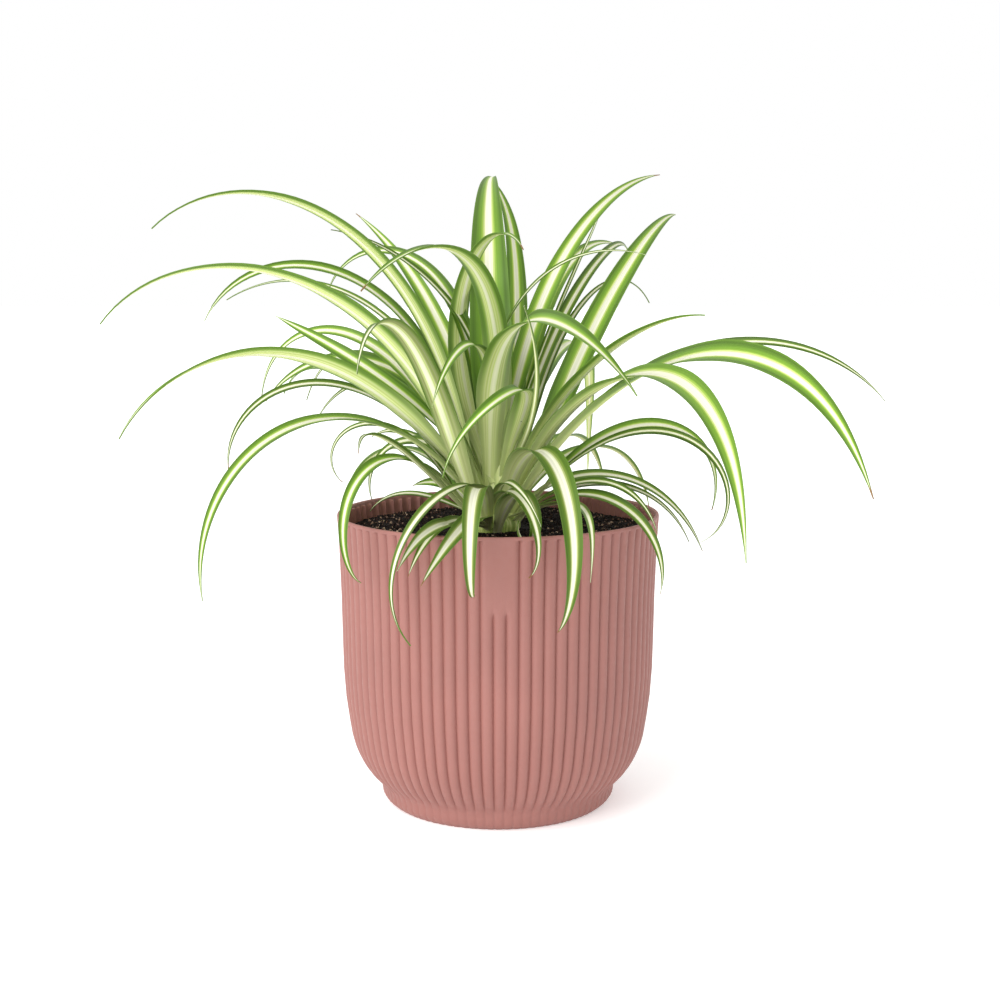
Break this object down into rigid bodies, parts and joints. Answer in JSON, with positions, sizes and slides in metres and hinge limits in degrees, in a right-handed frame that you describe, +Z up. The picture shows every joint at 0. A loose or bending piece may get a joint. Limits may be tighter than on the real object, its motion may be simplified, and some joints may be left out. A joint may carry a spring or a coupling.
{
  "type": "potted spider plant",
  "caption": "Spider plant with long arching striped leaves, growing from one crown in a soil-filled, vertically ribbed round plastic pot.",
  "frame": {"origin": "centre of the pot's foot, on the surface that it stands on", "axes": "+Z up along the pot's axis, +X to the right and -Y to the front, as seen from the front"},
  "size_m": [0.4958, 0.5023, 0.4412],
  "materials": {
    "pot_plastic": "matt moulded terracotta-pink plastic with vertical ribs",
    "soil": "dark granular potting soil with pale specks",
    "crown": "smooth blanched green leaf bases",
    "leaf": "satin green blade with a cream stripe along its middle"
  },
  "bodies": {
    "root": {"pot": "pot_plastic", "soil": "soil", "crown": "crown", "leaf_left_01": "leaf", "leaf_left_02": "leaf", "leaf_left_03": "leaf", "leaf_left_04": "leaf", "leaf_left_05": "leaf", "leaf_left_06": "leaf", "leaf_left_07": "leaf", "leaf_left_08": "leaf", "leaf_left_09": "leaf", "leaf_left_10": "leaf", "leaf_left_11": "leaf", "leaf_left_12": "leaf", "leaf_left_13": "leaf", "leaf_left_14": "leaf", "leaf_left_15": "leaf", "leaf_left_16": "leaf", "leaf_left_17": "leaf", "leaf_left_18": "leaf", "leaf_front_01": "leaf", "leaf_front_02": "leaf", "leaf_front_03": "leaf", "leaf_front_04": "leaf", "leaf_front_05": "leaf", "leaf_front_06": "leaf", "leaf_front_07": "leaf", "leaf_heart": "leaf", "leaf_top": "leaf", "leaf_right_01": "leaf", "leaf_right_02": "leaf", "leaf_right_03": "leaf", "leaf_right_04": "leaf", "leaf_right_05": "leaf", "leaf_right_06": "leaf", "leaf_right_07": "leaf", "leaf_right_08": "leaf", "leaf_right_09": "leaf", "leaf_right_10": "leaf", "leaf_right_11": "leaf", "leaf_right_12": "leaf", "leaf_right_13": "leaf", "leaf_right_14": "leaf", "leaf_back_01": "leaf", "leaf_back_02": "leaf", "leaf_back_03": "leaf", "leaf_back_04": "leaf", "leaf_back_05": "leaf", "leaf_back_06": "leaf", "leaf_back_07": "leaf"}
  },
  "joints": []
}
